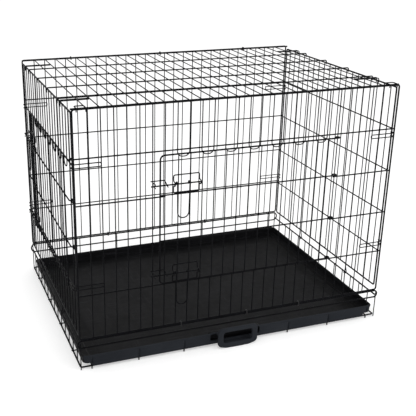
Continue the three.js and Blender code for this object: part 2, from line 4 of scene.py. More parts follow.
import bmesh
import bpy
from mathutils import Matrix, Vector


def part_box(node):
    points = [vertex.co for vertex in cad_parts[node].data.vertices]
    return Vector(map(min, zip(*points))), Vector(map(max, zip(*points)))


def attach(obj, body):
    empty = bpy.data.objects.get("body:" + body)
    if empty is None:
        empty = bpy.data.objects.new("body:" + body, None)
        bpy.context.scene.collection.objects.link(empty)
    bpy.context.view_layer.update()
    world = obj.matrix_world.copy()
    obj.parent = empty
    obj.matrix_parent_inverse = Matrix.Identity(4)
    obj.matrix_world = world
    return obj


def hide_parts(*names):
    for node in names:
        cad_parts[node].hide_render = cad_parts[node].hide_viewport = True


# A folding wire dog crate. Each CAD node of square wires is replaced by the round coated
# wires that it stands for, on the same routes, with weld spots where they cross, and the
# pan by its fine moulded shape. Lengths are millimetres in the crate's own frame: x along
# the front from the left, y from the front to the back, z up from the ground. A panel is
# drawn in its own frame: u to the right and v up as seen from outside, n outwards.

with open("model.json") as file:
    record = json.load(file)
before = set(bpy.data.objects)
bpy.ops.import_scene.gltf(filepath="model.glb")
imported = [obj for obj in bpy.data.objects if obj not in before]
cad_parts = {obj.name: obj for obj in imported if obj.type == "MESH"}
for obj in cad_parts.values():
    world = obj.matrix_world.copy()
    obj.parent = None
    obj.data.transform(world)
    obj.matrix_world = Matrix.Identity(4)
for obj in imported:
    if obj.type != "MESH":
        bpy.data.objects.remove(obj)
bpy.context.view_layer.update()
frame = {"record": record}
body_of = {
    node: body for body, nodes in frame["record"]["behaviour"]["bodies"].items() for node in nodes
}

# ---- Overall size, between wire centres ----
LENGTH = 620
DEPTH = 446
HEIGHT = 484

# ---- Wire diameters ----
FRAME = 3.2
RAIL = 2.6
FINE = 2.0
DOOR = 3.0
ROD = 2.6
LATCH = 2.2
FLOOR = 2.6
RING = 2.0

# ---- Layers: how far each set of wires stands from its panel's plane ----
SINK = 0.3  # how far crossing wires are pressed into each other by the weld
FINE_LAYER = 0.165  # the doors turn about uprights in this layer
RAIL_LAYER = FINE_LAYER - (RAIL + FINE) / 2 + SINK
CROSSING_LAYER = (FINE_LAYER + RAIL_LAYER) / 2 + 0.15  # the welds of uprights on rails
HOOK_LAYER = -2.1
TOP_HOOK_LAYER = FINE_LAYER - FINE + SINK
HOOK_REACH = 3.02  # the hooks pass the corner this far outside the panel
EYE_RADIUS = 3.77
DOOR_LAYER = FINE_LAYER + EYE_RADIUS
DOOR_FINE_LAYER = DOOR_LAYER + (DOOR + FINE) / 2 - SINK
STILE_LAYER = DOOR_LAYER + DOOR - SINK
STOP_LAYER = DOOR_LAYER + (DOOR + FINE) / 2 - SINK
KEEPER_LAYER = DOOR_FINE_LAYER + (FINE + LATCH) / 2 - SINK
BOLT_EYE_RADIUS = 3.63
ROD_LAYER = 13.08  # the drop handles turn about the bolts in this layer
CATCH_LAYER = FINE_LAYER + FINE - SINK

# ---- Panels ----
FIRST_COLUMN = 25
LONG_PITCH = 22.5
LONG_COLUMNS = [FIRST_COLUMN + LONG_PITCH * i for i in range(26)]
END_COLUMNS = [FIRST_COLUMN + 22 * i for i in range(19)]
RAIL_HEIGHTS = HEAD_RAIL, UPPER_RAIL, MIDDLE_RAIL, LOWER_RAIL = 400, 317, 231, 147
END_DOOR_RAILS = (385, UPPER_RAIL, MIDDLE_RAIL, LOWER_RAIL)
CORNER_RADIUS = 4
END_BITE = 0.6  # how far a wire runs past the centre of the wire that it ends on
TOP_RAILS = 4
TOP_HINGE_OFFSET = 4.4

# ---- Base and end panels ----
SILL_LOWER = 44
SILL_UPPER = 58.3
SILL_BULGE = 4
PANEL_FOOT = 61.5
BACK_SILL_LIFT = 4.7  # how much higher than at the front these lie at the back
BACK_FOOT_LIFT = 5.2
BACK_RAIL_LIFT = 3.2
POSTS = 13
POST_PITCH = 33
POST_BEAD = (1.3, 0.7)  # spread and height of the weld beads on posts
END_RAIL_HEIGHT = 49
END_INSET = 7.3
END_FOOT = 68
END_HEAD = 478
HINGE_COLUMNS = (4, 13)
FOOT_CURL = 3.1  # radius of the curls by which an end panel turns about its rail
GROUND_LOOP = 4.4
LONG_FLOOR_WIRES = 4
LONG_WIRE_INSET = 61
FLOOR_OVERHANG = 3.4  # how far outside the ground loop the cross wires bend down
FLOOR_LEVEL = GROUND_LOOP + (FRAME + FLOOR) / 2 - SINK
PAN_FLOOR = 9.1

# ---- Doors and latches ----
FRONT_DOOR = (6, 21)  # the numbers of the uprights that a doorway lies between
END_DOOR = (3, 18)
DOOR_OVERLAP = 10
DOOR_TOP = HEAD_RAIL - 6
DOOR_RAIL_LIFT = 4.5
HAIRPIN_DROP = 12
LATCH_RAILS = {"upper": UPPER_RAIL, "lower": LOWER_RAIL}
BOLT_HEIGHT = 26

# ---- Hooks and hinge rings ----
ENDS = (("left", False), ("right", True))  # each end's name, and whether it is on the right
CORNER_HOOK_HEIGHTS = {"upper": 387.5, "lower": 163.5}
TOP_HOOK_DEPTHS = {"front": 74, "back": 390}
HOOK_TIP = 0.4
SILL_RING_COLUMNS = (7, 13, 18)  # a ring sits half a pitch after the upright of this number
TOP_RING_COLUMNS = (3, 12, 21)

# ---- Pan ----
PAN_LEFT = 1.9
PAN_RIGHT = 612
PAN_FRONT = -7
PAN_BACK = 437
PAN_RIM = 29.4
PAN_RADIUS = 9
PAN_WALL = 2.5
PAN_LEDGE = PAN_FLOOR + 5.4  # underside of the step along three sides
GROOVE = [(-2.6, 0), (-1.8, 0.25), (-1.2, 1), (1.2, 1), (1.8, 0.25), (2.6, 0)]
GROOVE_DEPTH = 2.2
GRIP_CENTRE = 304.5
GRIP_WIDTH = 82
GRIP_ARM = 11
GRIP_STANDOFF = 8
GRIP_THICKNESS = 5
STEP_PAINTED_SHADE_START = (11.62, 11.85)  # heights between which the floor's colour turns into the step's painted shade
# heights between which the step's painted shade turns into the sides' painted light
SIDES_PAINTED_LIGHT_START = (15.7, 17.2)
# depths behind the front wall between which the rest turns into the front's painted light, nearer
# the front
FRONT_PAINTED_LIGHT_START = (PAN_FRONT + 4.5, PAN_FRONT + 3)
FLOOR_COLUMNS = [20, 110, 200, LENGTH / 2, LENGTH - 200, LENGTH - 110, LENGTH - 20]

# ---- Mesh resolution ----
WIRE_SIDES = 10
ARC_STEP = math.radians(15)

MILLIMETRE = 0.001


def layout(origin, u_axis, v_axis, n_axis):
    """The matrix that turns u, v and n of a panel or a camera into x, y and z round it."""
    columns = (u_axis, v_axis, n_axis, origin)
    return Matrix([[column[row] for column in columns] for row in range(3)] + [[0, 0, 0, 1]])


FRONT_SIDE = layout((0, 0, 0), (1, 0, 0), (0, 0, 1), (0, -1, 0))
RIGHT_SIDE = layout((LENGTH, 0, 0), (0, 1, 0), (0, 0, 1), (1, 0, 0))
BACK_SIDE = layout((LENGTH, DEPTH, 0), (-1, 0, 0), (0, 0, 1), (0, 1, 0))
LEFT_SIDE = layout((0, DEPTH, 0), (0, -1, 0), (0, 0, 1), (-1, 0, 0))
TOP_SIDE = layout((0, 0, HEIGHT), (1, 0, 0), (0, 1, 0), (0, 0, 1))
CRATE = Matrix.Identity(4)

grid_low, grid_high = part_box("base_floor_grid")
grid_centre = (grid_low + grid_high) / 2
crate_origin = Vector(
    (grid_centre.x - LENGTH / 2 * MILLIMETRE, grid_centre.y - DEPTH / 2 * MILLIMETRE, 0)
)
TO_ROW = Matrix.Translation(crate_origin) @ Matrix.Scale(MILLIMETRE, 4)


# ---- Paths ----
def rounded(path, radius, closed=False):
    """Cuts each corner of a path back by an arc, as far as the legs beside it leave room."""
    path = [Vector(point) for point in path]
    count = len(path)
    result = []
    for i, corner in enumerate(path):
        if not closed and i in (0, count - 1):
            result.append(corner)
            continue
        before, after = path[i - 1], path[(i + 1) % count]
        into, out = corner - before, after - corner
        ends = (not closed and i == 1, not closed and i == count - 2)
        room = min(leg.length * (0.98 if end else 0.49) for leg, end in zip((into, out), ends))
        into, out = into.normalized(), out.normalized()
        turn = into.angle(out)
        if turn < 1e-3:
            result.append(corner)
            continue
        bend = min(radius, room / math.tan(turn / 2))
        centre = corner + (out - into).normalized() * bend / math.cos(turn / 2)
        start = corner - into * bend * math.tan(turn / 2) - centre
        steps = max(2, math.ceil(turn / ARC_STEP))
        for k in range(steps + 1):
            angle = turn * k / steps
            result.append(centre + start * math.cos(angle) + into * bend * math.sin(angle))
    return result


def arc(u, v, n, radius, start, end):
    """Points of an arc in the v-n plane at u; 0 degrees points along +n and 90 along +v."""
    steps = math.ceil(abs(math.radians(end - start)) / ARC_STEP)
    points = []
    for k in range(steps + 1):
        angle = math.radians(start + (end - start) * k / steps)
        points.append((u, v + radius * math.sin(angle), n + radius * math.cos(angle)))
    return points


class Wires:
    """The tubes and weld spots of one piece, collected in a panel's own frame."""

    def __init__(self):
        self.points = []
        self.faces = []

    def tube(self, path, diameter, closed=False):
        """A round wire along a path; an open one ends in a sheared tip with a dulled edge."""
        radius = diameter / 2
        path = [Vector(point) for point in path]
        radii = [radius] * len(path)
        if not closed:
            dulled, tip = 0.3 * radius, 0.72 * radius
            first = (path[1] - path[0]).normalized() * dulled
            last = (path[-1] - path[-2]).normalized() * dulled
            path = [path[0], path[0] + first, *path[1:-1], path[-1] - last, path[-1]]
            radii = [tip, radius, *radii[1:-1], radius, tip]
        count = len(path)
        spans = range(count if closed else count - 1)
        legs = [(path[(i + 1) % count] - path[i]).normalized() for i in spans]
        legs = legs if closed else [*legs, legs[-1], legs[0]]
        tangents = [(legs[i - 1] + legs[i]).normalized() for i in range(count)]
        across = tangents[0].orthogonal().normalized()
        sides = [across]
        for before, after in zip(tangents, tangents[1:]):
            across = before.rotation_difference(after) @ across
            sides.append(across)
        home = tangents[-1].rotation_difference(tangents[0]) @ across
        twist = 0
        if closed:
            twist = math.atan2(tangents[0].dot(home.cross(sides[0])), home.dot(sides[0]))
        base = len(self.points)
        for i in range(count):
            up = tangents[i].cross(sides[i])
            for k in range(WIRE_SIDES):
                angle = math.tau * k / WIRE_SIDES + twist * i / count
                offset = sides[i] * math.cos(angle) + up * math.sin(angle)
                self.points.append(path[i] + offset * radii[i])
        self.skin(base, count, WIRE_SIDES, closed)

    def skin(self, base, rings, sides, closed):
        """Faces over a stack of rings whose first point is number base."""
        for i in range(rings if closed else rings - 1):
            low, high = base + i * sides, base + (i + 1) % rings * sides
            for k in range(sides):
                after = (k + 1) % sides
                self.faces.append((low + k, low + after, high + after, high + k))
        if not closed:
            end = base + (rings - 1) * sides
            self.faces.append(tuple(base + k for k in reversed(range(sides))))
            self.faces.append(tuple(end + k for k in range(sides)))

    def weld(self, u, v, n, spread=1.25, height=0.6):
        """A flattened bead that fills the corners where two wires cross."""
        base = len(self.points)
        sides = 8
        latitudes = [-72, -30, 30, 72]
        for latitude in latitudes:
            ring = spread * math.cos(math.radians(latitude))
            rise = height * math.sin(math.radians(latitude))
            for k in range(sides):
                angle = math.tau * k / sides
                bead = (u + ring * math.cos(angle), v + ring * math.sin(angle), n + rise)
                self.points.append(Vector(bead))
        self.skin(base, len(latitudes), sides, False)

    def crossings(self, uprights, rails, n):
        """A weld at each place where an upright (u, from, to) meets a rail (v, from, to)."""
        for u, bottom, top in uprights:
            for v, left, right in rails:
                if bottom <= v <= top and left <= u <= right:
                    self.weld(u, v, n)


def mesh_piece(name, mesh, material, sharp=40):
    """An object of the scene from a mesh in the row frame, smooth up to the sharp angle."""
    mesh.materials.clear()
    mesh.materials.append(material)
    mesh.shade_smooth()
    mesh.set_sharp_from_angle(angle=math.radians(sharp))
    piece = bpy.data.objects.new(name, mesh)
    bpy.context.scene.collection.objects.link(piece)
    return piece


def stand_for(piece, node):
    """The piece rides on its CAD node's body and is shown in the node's place."""
    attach(piece, body_of[node])
    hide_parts(node)


def place_wires(node, wires, side, slot="coated_wire"):
    """Makes the piece of these wires, drawn in the frame of one side, for its CAD node."""
    mesh = bpy.data.meshes.new("round_" + node)
    mesh.from_pydata([TO_ROW @ side @ point for point in wires.points], [], wires.faces)
    stand_for(mesh_piece("round_" + node, mesh, MATERIALS[slot]), node)


# ---- Materials ----
class Shader:
    """A node-based material; each method adds one kind of node and returns its output."""

    def __init__(self, name):
        self.material = bpy.data.materials.new(name)
        self.material.use_nodes = True
        self.nodes = self.material.node_tree.nodes
        self.links = self.material.node_tree.links
        self.surface = self.nodes["Principled BSDF"]
        self.coordinates = self.nodes.new("ShaderNodeTexCoord").outputs["Object"]

    def link(self, output, node, socket):
        self.links.new(output, node.inputs[socket])

    def noise(self, scale, detail=3.0, stretch=(1, 1, 1)):
        mapping = self.nodes.new("ShaderNodeMapping")
        mapping.inputs["Scale"].default_value = stretch
        self.link(self.coordinates, mapping, "Vector")
        texture = self.nodes.new("ShaderNodeTexNoise")
        texture.inputs["Scale"].default_value = scale
        texture.inputs["Detail"].default_value = detail
        self.link(mapping.outputs["Vector"], texture, "Vector")
        return texture.outputs["Fac"]

    def spread(self, value, low, high, to_low=0.0, to_high=1.0):
        """Maps a value's range low..high to to_low..to_high."""
        node = self.nodes.new("ShaderNodeMapRange")
        limits = {"From Min": low, "From Max": high, "To Min": to_low, "To Max": to_high}
        for socket, number in limits.items():
            node.inputs[socket].default_value = number
        self.link(value, node, "Value")
        return node.outputs["Result"]

    def blend(self, factor, first, second):
        """Mixes two colours, each an RGB tuple or another node's output."""
        node = self.nodes.new("ShaderNodeMix")
        node.data_type = "RGBA"
        self.link(factor, node, 0)
        for socket, colour in ((6, first), (7, second)):
            if isinstance(colour, tuple):
                node.inputs[socket].default_value = (*colour, 1)
            else:
                self.link(colour, node, socket)
        return node.outputs[2]

    def rises(self, axis, low, high):
        """0 up to the crate's coordinate low on the numbered axis, and 1 from high on."""
        node = self.nodes.new("ShaderNodeSeparateXYZ")
        self.link(self.coordinates, node, "Vector")
        low, high = ((TO_ROW @ Vector([place] * 3))[axis] for place in (low, high))
        return self.spread(node.outputs[axis], low, high)

    def add(self, first, second):
        node = self.nodes.new("ShaderNodeMath")
        self.link(first, node, 0)
        self.link(second, node, 1)
        return node.outputs[0]

    def bump(self, height, distance, strength=1.0, below=None):
        node = self.nodes.new("ShaderNodeBump")
        node.inputs["Distance"].default_value = distance
        node.inputs["Strength"].default_value = strength
        self.link(height, node, "Height")
        if below:
            self.link(below, node, "Normal")
        return node.outputs["Normal"]

    def finish(self, **inputs):
        """Sets the surface's sockets: outputs are linked, numbers and colours are written."""
        for name, value in inputs.items():
            socket = name.replace("_", " ").title().replace("Ior", "IOR")
            if isinstance(value, bpy.types.NodeSocket):
                self.link(value, self.surface, socket)
            else:
                self.surface.inputs[socket].default_value = value
        return self.material


def coated_wire():
    """Semi-gloss black dip coating: patchy thickness, orange peel and a little dust."""
    shader = Shader("coated_wire")
    patches = shader.spread(shader.noise(55), 0.35, 0.65)
    dust = shader.spread(shader.noise(900, detail=6), 0.62, 0.75)
    colour = shader.blend(patches, (0.0022, 0.0023, 0.003), (0.0042, 0.0044, 0.0056))
    return shader.finish(
        base_color=shader.blend(dust, colour, (0.016, 0.016, 0.018)),
        roughness=shader.spread(shader.noise(300), 0.3, 0.7, 0.34, 0.52),
        specular_ior_level=0.04,
        normal=shader.bump(shader.noise(1400), 0.00012, 0.35),
    )


def ring_wire():
    """Hinge rings of darkened steel, rubbed brighter where they turn."""
    shader = Shader("ring_wire")
    rubbed = shader.spread(shader.noise(420), 0.5, 0.68)
    return shader.finish(
        base_color=shader.blend(rubbed, (0.004, 0.004, 0.005), (0.02, 0.02, 0.022)),
        metallic=0.3,
        roughness=shader.spread(shader.noise(250), 0.3, 0.7, 0.28, 0.45),
        normal=shader.bump(shader.noise(1800), 0.0001, 0.3),
    )


def pan_plastic():
    """Moulded charcoal plastic: fine grain, a gently rippled floor and faint slide marks, with
    painted shade darkening the step and painted light brightening the sides and, more, the front
    with its grip."""
    shader = Shader("pan_plastic")
    clouds = shader.spread(shader.noise(14), 0.35, 0.65)
    marks = shader.spread(shader.noise(40, detail=8, stretch=(0.5, 14, 14)), 0.6, 0.7)
    cross_marks = shader.spread(shader.noise(40, detail=8, stretch=(14, 0.5, 14)), 0.62, 0.72)
    floor = shader.blend(clouds, (0.0043, 0.0044, 0.0049), (0.0066, 0.0067, 0.0075))
    # painted shade: the step is coloured darker than the floor
    step = shader.blend(clouds, (0.0022, 0.0023, 0.0026), (0.0034, 0.0035, 0.004))
    # painted light: the upright sides are coloured lighter than the floor, against the shade they
    # take
    sides = shader.blend(clouds, (0.0056, 0.0057, 0.0064), (0.0078, 0.0079, 0.0088))
    # painted light: the front face and its grip are coloured much lighter and bluer than the rest
    front = shader.blend(clouds, (0.018, 0.02, 0.0242), (0.0225, 0.025, 0.0298))
    # by height, the floor's colour gives way to the step's painted shade
    colour = shader.blend(shader.rises(2, *STEP_PAINTED_SHADE_START), floor, step)
    # then, by height, the step's painted shade gives way to the sides' painted light
    colour = shader.blend(shader.rises(2, *SIDES_PAINTED_LIGHT_START), colour, sides)
    # and near the front, by depth, the front's painted light takes over
    colour = shader.blend(shader.rises(1, *FRONT_PAINTED_LIGHT_START), colour, front)
    colour = shader.blend(marks, colour, (0.02, 0.02, 0.023))
    ripple = shader.bump(shader.noise(9, detail=1), 0.004, 0.35)
    grain = shader.bump(shader.noise(2200, detail=2), 0.00015, 0.4, below=ripple)
    return shader.finish(
        base_color=shader.blend(cross_marks, colour, (0.018, 0.018, 0.021)),
        roughness=shader.add(
            shader.spread(shader.noise(70), 0.3, 0.7, 0.34, 0.46),
            shader.spread(marks, 0, 1, 0, 0.12),
        ),
        specular_ior_level=0.03,
        normal=grain,
    )


MATERIALS = {"coated_wire": coated_wire(), "ring_wire": ring_wire(), "pan_plastic": pan_plastic()}


# ---- Panels ----
def panel(columns, left, bottom, right, top, doorway=None, feet=(), heights=RAIL_HEIGHTS):
    """Uprights and rails in a frame; doorway gives the uprights that an opening lies between."""
    head_rail = heights[0]
    hairpin_foot = head_rail - HAIRPIN_DROP
    wires = Wires()
    corners = [(left, bottom, 0), (right, bottom, 0), (right, top, 0), (left, top, 0)]
    wires.tube(rounded(corners, CORNER_RADIUS, closed=True), FRAME, closed=True)
    first, last = doorway or (0, 0)
    over = END_BITE + RAIL / 2
    rails = []
    for v in heights:
        if doorway and v in (UPPER_RAIL, MIDDLE_RAIL):
            rails.append((v, left - 1, columns[first] + over))
            rails.append((v, columns[last] - over, right + 1))
        else:
            rails.append((v, left - 1, right + 1))
    uprights = []
    for i, u in enumerate(columns):
        head = LOWER_RAIL + over if first < i < last else top + END_BITE
        uprights.append((u, bottom - END_BITE, head))
        if i in feet:
            curl = arc(u, END_RAIL_HEIGHT, 0, FOOT_CURL, 0, -270)
            straight = [(u, head, FINE_LAYER), (u, END_RAIL_HEIGHT + 11, FINE_LAYER)]
            bend = rounded([*straight, (u, END_RAIL_HEIGHT + 5, FOOT_CURL)], 6)
            wires.tube(bend[:-1] + curl, FINE)
        else:
            wires.tube([(u, bottom - END_BITE, FINE_LAYER), (u, head, FINE_LAYER)], FINE)
    for i in range(first + 1, last, 2):
        near, far = columns[i], columns[i + 1]
        route = [(near, top + END_BITE, FINE_LAYER), (near, hairpin_foot, FINE_LAYER)]
        route += [(far, hairpin_foot, FINE_LAYER), (far, top + END_BITE, FINE_LAYER)]
        wires.tube(rounded(route, (far - near) * 0.42), FINE)
        uprights += [(near, head_rail, top), (far, head_rail, top)]
    for v, start, end in rails:
        wires.tube([(start, v, RAIL_LAYER), (end, v, RAIL_LAYER)], RAIL)
    wires.crossings(uprights, rails, CROSSING_LAYER)
    wires.crossings(uprights, [(bottom, left, right), (top, left, right)], FINE_LAYER)
    edges = [(left, bottom, top), (right, bottom, top)]
    wires.crossings(edges, rails, RAIL_LAYER / 2)
    return wires


def top_panel(drop=8.4):
    """The top has no end wires: its long wires turn down over the end panels."""
    wires = Wires()
    front, back = TOP_HINGE_OFFSET, DEPTH - TOP_HINGE_OFFSET
    for v in (front, back):
        wires.tube([(-FRAME / 2, v, 0), (LENGTH + FRAME / 2, v, 0)], FRAME)
    for u in LONG_COLUMNS:
        wires.tube([(u, front - END_BITE, FINE_LAYER), (u, back + END_BITE, FINE_LAYER)], FINE)
    outside = HOOK_REACH + HOOK_TIP
    step = (back - front) / (TOP_RAILS + 1)
    heights = [front + step * (i + 1) for i in range(TOP_RAILS)]
    for v in heights:
        route = [(-outside, v, RAIL_LAYER - drop), (-outside, v, RAIL_LAYER)]
        route += [(LENGTH + outside, v, RAIL_LAYER), (LENGTH + outside, v, RAIL_LAYER - drop)]
        wires.tube(rounded(route, 3), RAIL)
    uprights = [(u, front, back) for u in LONG_COLUMNS]
    wires.crossings(uprights, [(v, 0, LENGTH) for v in heights], CROSSING_LAYER)
    wires.crossings(uprights, [(front, 0, LENGTH), (back, 0, LENGTH)], FINE_LAYER)
    return wires


# ---- Hooks and catches ----
def from_corner(mirror):
    """Gives u for a distance from a panel's left corner, or from its right one."""
    return (lambda distance: LENGTH - distance) if mirror else (lambda distance: distance)


def corner_hook(mirror, height, length=48, spread=7):
    """A hairpin that reaches round the corner and behind the end panel's edge wire."""
    place = from_corner(mirror)
    behind = -HOOK_REACH - END_INSET
    wires = Wires()

    def leg(v):
        outer = ((length, HOOK_LAYER), (-HOOK_REACH, HOOK_LAYER))
        bends = (*outer, (-HOOK_REACH, behind), (HOOK_TIP, behind))
        return [(place(distance), v, n) for distance, n in bends]

    low, high = leg(height - spread / 2), leg(height + spread / 2)
    wires.tube(rounded([*reversed(low), *high], 2.6), FINE)
    for v in (height - spread / 2, height + spread / 2):
        for distance in (0, LONG_COLUMNS[0], LONG_COLUMNS[1]):
            wires.weld(place(distance), v, HOOK_LAYER + 0.95)
    return wires


def top_hook(mirror, v, length=48, spread=7, drop=9.4):
    """A hairpin that drops outside the end panel's top wire."""
    place = from_corner(mirror)
    tip = TOP_HOOK_LAYER - drop
    bends = ((length, TOP_HOOK_LAYER), (-HOOK_REACH, TOP_HOOK_LAYER), (-HOOK_REACH, tip))
    wires = Wires()
    near, far = ([(place(d), v + half, n) for d, n in bends] for half in (-spread / 2, spread / 2))
    wires.tube(rounded([*reversed(near), *far], 2.6), FINE)
    for across in (v - spread / 2, v + spread / 2):
        for column in LONG_COLUMNS[:2]:
            wires.weld(place(column), across, TOP_HOOK_LAYER + 0.9)
    return wires


def top_catch(mirror, span=(7, 23), depth=12, drop=4, layer=2.65):
    """The lip of the top that comes down in front of the front panel's top wire."""
    wires = Wires()
    near, far = map(from_corner(mirror), span)
    route = [(near, -HOOK_REACH, -drop), (near, -HOOK_REACH, layer), (near, depth, layer)]
    route += [(far, depth, layer), (far, -HOOK_REACH, layer), (far, -HOOK_REACH, -drop)]
    wires.tube(rounded(route, 2.4), FINE)
    for u in (near, far):
        wires.weld(u, TOP_HINGE_OFFSET, 1.6)
    return wires


# ---- Doors and latches ----
def door(columns, first, last):
    """A bent frame whose ends curl round the upright that the door hangs on."""
    wires = Wires()
    edge = columns[first] - DOOR_OVERLAP
    hinge = columns[last]
    bottom = LOWER_RAIL + DOOR_RAIL_LIFT

    def curl(v):
        turn = math.radians(270)
        steps = math.ceil(turn / ARC_STEP)
        angles = [turn * k / steps for k in range(1, steps + 1)]
        return [
            (hinge + EYE_RADIUS * math.sin(angle), v, FINE_LAYER + EYE_RADIUS * math.cos(angle))
            for angle in angles
        ]

    outline = [(hinge, bottom), (edge, bottom), (edge, DOOR_TOP), (hinge, DOOR_TOP)]
    bent = rounded([(u, v, DOOR_LAYER) for u, v in outline], 8)
    wires.tube([*reversed(curl(bottom)), *bent, *curl(DOOR_TOP)], DOOR)
    heights = [UPPER_RAIL + DOOR_RAIL_LIFT, MIDDLE_RAIL + DOOR_RAIL_LIFT]
    for v in heights:
        wires.tube([(edge, v, DOOR_LAYER), (hinge, v, DOOR_LAYER), *curl(v)], RAIL)
        wires.weld(edge, v, DOOR_LAYER, 2, 1.6)
    rails = [(v, edge, hinge) for v in (*heights, bottom, DOOR_TOP)]
    ends = (bottom - DOOR / 2 - 0.3, DOOR_TOP + DOOR / 2 + 0.3)
    for u in columns[first + 1 : last - 1]:
        wires.tube([(u, ends[0], DOOR_FINE_LAYER), (u, ends[1], DOOR_FINE_LAYER)], FINE)
        wires.crossings([(u, *ends)], rails, DOOR_FINE_LAYER - FINE / 2)
    u = columns[last - 1]
    wires.tube([(u, ends[0], STILE_LAYER), (u, ends[1], STILE_LAYER)], DOOR)
    wires.crossings([(u, *ends)], rails, STILE_LAYER - DOOR / 2)
    return wires


def keeper(edge, bolt, columns, near=23, far=71, rise=15, fall=18, corner=5):
    """A loop on the door whose two sides arch over the bolt."""
    wires = Wires()

    def side(u, inwards):
        arch = arc(u, bolt, ROD_LAYER, BOLT_EYE_RADIUS, 90, -90)
        upper = [(u + inwards * corner, bolt + rise), (u, bolt + rise), (u, bolt + BOLT_EYE_RADIUS)]
        lower = [(u, bolt - BOLT_EYE_RADIUS), (u, bolt - fall), (u + inwards * corner, bolt - fall)]
        upper, lower = ([(*point, KEEPER_LAYER) for point in half] for half in (upper, lower))
        return rounded([*upper, arch[0]], 3)[:-1] + arch + rounded([arch[-1], *lower], 3)[1:]

    wires.tube([*side(edge + near, 1), *reversed(side(edge + far, -1))], LATCH, closed=True)
    uprights = [(u, bolt - 2 * fall, bolt + 2 * rise) for u in columns]
    bars = [(v, edge + near + 1, edge + far - 1) for v in (bolt + rise, bolt - fall)]
    wires.crossings(uprights, bars, KEEPER_LAYER - LATCH / 2)
    return wires


def bolt_rod(edge, bolt, reach=20, tail=75):
    """A straight rod whose tip passes the door's free edge by reach."""
    wires = Wires()
    wires.tube([(edge - reach, bolt, ROD_LAYER), (edge + tail, bolt, ROD_LAYER)], ROD)
    return wires


def drop_handle(edge, bolt, near=27, far=50, drop=62, taper=1.2):
    """Hangs from the bolt by two eyes and swings up outwards."""
    wires = Wires()
    front = ROD_LAYER + BOLT_EYE_RADIUS
    low = bolt - drop
    near_eye, far_eye = (
        arc(edge + u, bolt, ROD_LAYER, BOLT_EYE_RADIUS, 225, 0) for u in (near, far)
    )
    corners = [(edge + near + taper, low, front), (edge + far - taper, low, front)]
    loop = rounded([near_eye[-1], *corners, far_eye[-1]], 10)
    wires.tube([*near_eye, *loop[1:-1], *reversed(far_eye)], LATCH)
    return wires


def stop_wire(edge, bolt, start=18.5, bend=7, end=14, rise=7, fall=7):
    """Lies over the panel's upright, crosses the door's edge and bends down past the bolt."""
    wires = Wires()
    route = [(edge - start, bolt + rise), (edge + bend, bolt + rise), (edge + end, bolt - fall)]
    wires.tube(rounded([(u, v, STOP_LAYER) for u, v in route], 4), FINE)
    wires.weld(edge, bolt + rise, STOP_LAYER - FINE / 2)
    return wires


def bolt_catch(u, bolt, reach=15.5):
    """The staple on the panel that the bolt's tip rests in."""
    wires = Wires()
    arm = (ROD + FINE) / 2 + 0.9
    route = [(u, bolt + arm, reach), (u, bolt + arm, CATCH_LAYER)]
    route += [(u, bolt - arm, CATCH_LAYER), (u, bolt - arm, reach)]
    wires.tube(rounded(route, 1.6), FINE)
    for v in (bolt - arm / 2, bolt + arm / 2):
        wires.weld(u, v, CATCH_LAYER - FINE / 2)
    return wires


# ---- Hinge rings ----
def ring(u, low, high):
    """A closed ring round two neighbouring wires, whose centres are given as (v, n)."""
    radius = (FRAME + RING) / 2 + 0.1
    (low_v, low_n), (high_v, high_n) = low, high
    lower = arc(u, low_v, low_n, radius, 0, -180)
    upper = arc(u, high_v, high_n, radius, 180, 0)
    wires = Wires()
    wires.tube([*lower, *upper], RING, closed=True)
    return wires


# ---- Base ----
def floor_grid():
    """The ground loop under cross wires whose ends are its feet, and four long wires."""
    wires = Wires()
    plan = [(0, 0), (LENGTH, 0), (LENGTH, DEPTH), (0, DEPTH)]
    loop = rounded([(x, y, GROUND_LOOP) for x, y in plan], CORNER_RADIUS, closed=True)
    wires.tube(loop, FRAME, closed=True)
    for x in FLOOR_COLUMNS:
        route = [(x, -FLOOR_OVERHANG, 0), (x, -FLOOR_OVERHANG, FLOOR_LEVEL)]
        route += [(x, DEPTH + FLOOR_OVERHANG, FLOOR_LEVEL), (x, DEPTH + FLOOR_OVERHANG, 0)]
        wires.tube(rounded(route, 2.6), FLOOR)
    lower = FLOOR_LEVEL - FLOOR + SINK
    step = (DEPTH - 2 * LONG_WIRE_INSET) / (LONG_FLOOR_WIRES - 1)
    depths = [LONG_WIRE_INSET + step * i for i in range(LONG_FLOOR_WIRES)]
    for y in depths:
        wires.tube([(-3, y, lower), (LENGTH + 3, y, lower)], FLOOR)
    cross_wires = [(x, 0, DEPTH) for x in FLOOR_COLUMNS]
    wires.crossings(cross_wires, [(y, 0, LENGTH) for y in depths], FLOOR_LEVEL - FLOOR / 2)
    loop_sides = [(0, 0, LENGTH), (DEPTH, 0, LENGTH)]
    wires.crossings(cross_wires, loop_sides, FLOOR_LEVEL - FLOOR / 2)
    return wires


def base_side(x):
    """A row of posts under the wire that an end panel hinges on."""
    wires = Wires()
    wires.tube([(x, 0.4, END_RAIL_HEIGHT), (x, DEPTH - 0.4, END_RAIL_HEIGHT)], FRAME)
    for i in range(POSTS):
        y = FIRST_COLUMN + POST_PITCH * i
        wires.tube([(x, y, GROUND_LOOP), (x, y, END_RAIL_HEIGHT + END_BITE)], FINE)
        wires.weld(x, y, END_RAIL_HEIGHT - FRAME / 2, *POST_BEAD)
        wires.weld(x, y, GROUND_LOOP + FRAME / 2, *POST_BEAD)
    return wires


